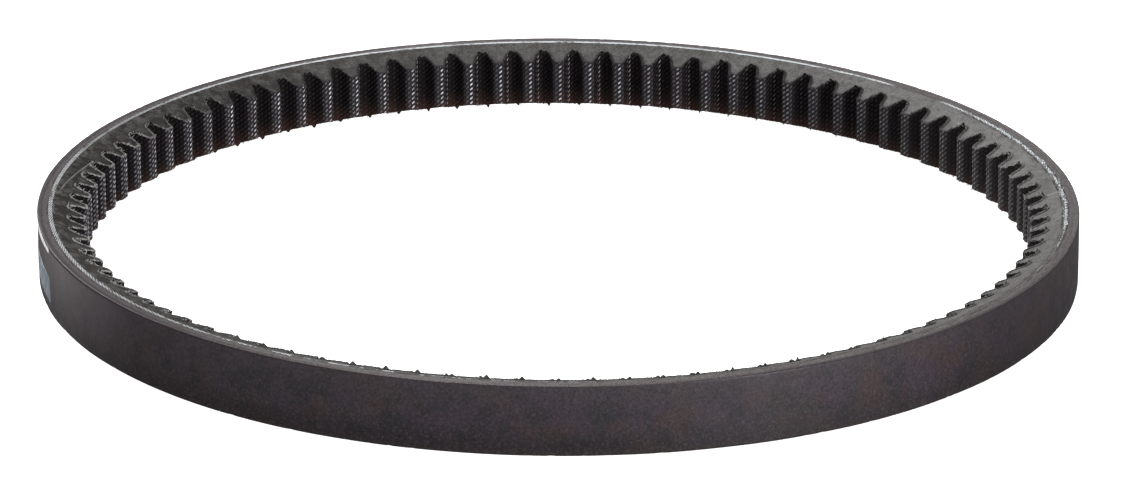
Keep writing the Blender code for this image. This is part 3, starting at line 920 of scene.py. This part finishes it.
def make_edge_thread(name, material, side, waves_per_cog, seed):
    """A yarn of the cut facing, which winds in and out of the cut along the whole toothed line."""
    columns = np.arange(EDGE_SAMPLES) / EDGE_SAMPLES
    grids = [cog_grid(0, COGS, offset, 0.15 * MM, columns) for offset in (0.0, FACING)]
    turn, depth, _ = (grid[:-1] for grid in grids[0])
    back_turn, back_depth, _ = (grid[:-1] for grid in grids[1])
    place = np.arange(len(turn)) / EDGE_SAMPLES
    wander = waves(turn, 0 * turn, seed, 40, 2000, 1.0)
    sway = 0.5 + 0.45 * np.sin(2 * math.pi * waves_per_cog * place + 1.6 * wander)
    turn, depth = turn + (back_turn - turn) * sway, depth + (back_depth - depth) * sway
    rise = (0.03 + 0.04 * np.cos(2 * math.pi * waves_per_cog * place + wander)) * MM
    centre = belt_points(turn, depth, side * (half_width(depth) + rise))
    heading = np.roll(centre, -1, axis=0) - np.roll(centre, 1, axis=0)
    heading /= np.linalg.norm(heading, axis=-1, keepdims=True)
    flat = np.cross(heading, (0.0, 0.0, 1.0))
    flat /= np.linalg.norm(flat, axis=-1, keepdims=True)
    upright = np.cross(flat, heading)
    angle = np.arange(EDGE_SIDES)[None, :, None] / EDGE_SIDES * 2 * math.pi
    ring = flat[:, None] * np.cos(angle) + upright[:, None] * np.sin(angle)
    pale = pale_at(turn)[:, None] * (0.6 + 0.4 * np.clip(wander, -1, 1))[:, None]
    piece = lofted(name, centre[:, None] + ring * EDGE_THREAD_RADIUS, material, pale=pale)
    return placed(piece, "facing_fabric")


def make_fringe(name, material, first, last, seed):
    """Loose threads round the notches, where the cut facing frays."""
    rng = np.random.default_rng(seed)
    share, turn_at, depth_at, _ = smoothed_cog(FACING * 0.3, 0.15 * MM)
    count = (last - first) * THREADS_PER_EDGE * 2
    cell = rng.integers(first, last, count)
    spot = rng.choice([-1, 1], count) * np.abs(rng.normal(0, 0.20, count))
    spot = np.where(np.abs(spot) > 0.4, 0.1, spot) % 1
    depth = np.interp(spot, share, depth_at)
    turn = (cell + np.interp(spot, share, turn_at)) / COGS
    side = rng.choice([-1.0, 1.0], count)
    height = side * (half_width(depth) - 0.04 * MM)
    length = rng.uniform(0.12, 0.55, count) * MM * (1 + pale_at(turn))
    length = np.minimum(length, HALF - 0.06 * MM - np.abs(height))
    threads = bristles(name, material, (turn, depth, height), rng.normal(0, 0.7, count),
                       rng.normal(-0.1, 0.7, count), side * (1 - 0.8 * pale_at(turn)), length,
                       rng.uniform(0.07, 0.14, count) * MM * (1 + 0.5 * pale_at(turn)),
                       pale=(rng.random(count) < pale_at(turn)) * 1.0,
                       developed=rng.uniform(0, 9, count) * MM)
    return placed(threads, "facing_fabric")


def make_cogs(rubber):
    """The two lengths of cogged rubber and facing, with the yarns and loose threads of the cut edges."""
    fabric = facing_fabric()
    start, scarf, end = RADIAL_SPLICE_COG, SCARF_ROOT_COG, RADIAL_SPLICE_COG + COGS
    rubber_length("cogs_short", rubber, start, SCARF_CORD_COG, "compression_rubber_short", False)
    rubber_length("cogs_long", rubber, scarf, end, "compression_rubber_long", True)
    fabric_length("facing_short", fabric, start, scarf, "facing_fabric_short", 51)
    fabric_length("facing_long", fabric, scarf, end, "facing_fabric_long", 52)
    make_edge_thread("edge_yarn_upper", fabric, 1, 13, 56)
    make_edge_thread("edge_yarn_upper_inner", fabric, 1, 17, 57)
    make_edge_thread("edge_yarn_lower", fabric, -1, 13, 58)
    make_fringe("fringe_short", fabric, start, scarf, 53)
    make_fringe("fringe_long", fabric, scarf, end, 54)


# ---- Marks


def make_mark(node, material, seed):
    """A thin printed bar with worn ends, laid on the back face where the CAD mark lies."""
    low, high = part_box(node)
    middle = math.atan2(low[1] + high[1], low[0] + high[0])
    share = np.interp(middle % (2 * math.pi), ANGLES, SHARES)
    reach = math.hypot(high[0] - low[0], high[1] - low[1]) / 2 / CORD_LINE
    columns = np.linspace(-1, 1, 120)[:, None]
    heights = np.linspace(0, 1, 16)[None, :]
    wear = waves(columns / 2, 0 * columns, seed, 30, 60, 1.0) * 0.05 * MM
    taper = np.clip((1 - np.abs(columns)) * 40, 0, 1)
    bottom, top = low[2] + np.abs(wear), high[2] - np.abs(wear)
    height = bottom + (top - bottom) * heights
    turn = share + columns * reach + 0 * heights
    proud = (0.05 * taper * np.minimum(1, 6 * np.minimum(heights, 1 - heights)) + 0.02) * MM
    outer = belt_points(turn, -proud, height)
    inner = belt_points(turn, 0.06 * MM, height)[:, ::-1]
    loop = np.concatenate([outer, inner], axis=1)
    return placed(lofted(node + "_film", loop, material, endless=False), "mark_ink", node)


# ---- Room, lights and camera

FLOOR_SIDE = 6.0


def make_floor():
    half = FLOOR_SIDE / 2
    corners = [(-half, -half, 0), (half, -half, 0), (half, half, 0), (-half, half, 0)]
    mesh = bpy.data.meshes.new("floor")
    mesh.from_pydata(corners, [], [(0, 1, 2, 3)])
    mesh.materials.append(floor_paint())
    floor = bpy.data.objects.new("floor", mesh)
    floor.location.z = COVER_LOW[2] - 0.05 * MM
    floor.visible_glossy = False
    bpy.context.scene.collection.objects.link(floor)


CAMERA_AZIMUTH, CAMERA_ELEVATION = math.radians(48.2), math.radians(19.73)
CAMERA_DISTANCE = 1.172
CAMERA_LENS = 204.1
CAMERA_ROLL = math.radians(-0.355)
CAMERA_SHIFT = (0.0046, -0.0169)


def from_camera_side(side, depth, height):
    """A point given to the camera's right, away from it and up, as seen from above the loop's centre."""
    right = Vector((math.cos(CAMERA_AZIMUTH), math.sin(CAMERA_AZIMUTH), 0))
    away = Vector((-math.sin(CAMERA_AZIMUTH), math.cos(CAMERA_AZIMUTH), 0))
    return right * side + away * depth + Vector((0, 0, height))


def make_camera():
    data = bpy.data.cameras.new("camera")
    data.lens, data.sensor_width = CAMERA_LENS, 36
    data.shift_x, data.shift_y = CAMERA_SHIFT
    data.clip_start, data.clip_end = 0.05, 20
    camera = bpy.data.objects.new("camera", data)
    bpy.context.scene.collection.objects.link(camera)
    flat = CAMERA_DISTANCE * math.cos(CAMERA_ELEVATION)
    camera.location = from_camera_side(0, -flat, CAMERA_DISTANCE * math.sin(CAMERA_ELEVATION))
    aim = (-camera.location).to_track_quat("-Z", "Y")
    camera.rotation_euler = aim.to_euler()
    camera.rotation_euler.rotate_axis("Z", CAMERA_ROLL)
    bpy.context.scene.camera = camera


def area_light(name, side, depth, height, size, power):
    data = bpy.data.lights.new(name, "AREA")
    data.shape, data.size, data.energy = "DISK", size, power
    light = bpy.data.objects.new(name, data)
    light.location = from_camera_side(side, depth, height)
    light.rotation_euler = (-light.location).to_track_quat("-Z", "Y").to_euler()
    bpy.context.scene.collection.objects.link(light)


def make_lights():
    world = bpy.data.worlds.new("studio")
    world.use_nodes = True
    background = world.node_tree.nodes["Background"]
    background.inputs["Color"].default_value = (1.0, 1.0, 1.0, 1.0)
    background.inputs["Strength"].default_value = 0.18
    bpy.context.scene.world = world
    area_light("back_left_box", -0.66, 1.03, 0.65, 0.7, 26)
    area_light("top_box", 0.2, 0.0, 1.4, 0.9, 8)
    area_light("front_right_box", 0.74, -0.92, 0.12, 0.30, 13)
    bpy.context.scene.view_settings.view_transform = "Standard"


make_camera()
make_cover()
flank = fibre_rubber()
make_gum(flank)
make_cord()
make_cogs(flank)
make_mark("mark_upper", mark_ink("pale_ink", (0.50, 0.49, 0.49), (0.66, 0.65, 0.65)), 61)
make_mark("mark_lower", mark_ink("blue_ink", (0.11, 0.13, 0.16), (0.19, 0.21, 0.245)), 62)
make_floor()
make_lights()

bpy.context.view_layer.update()
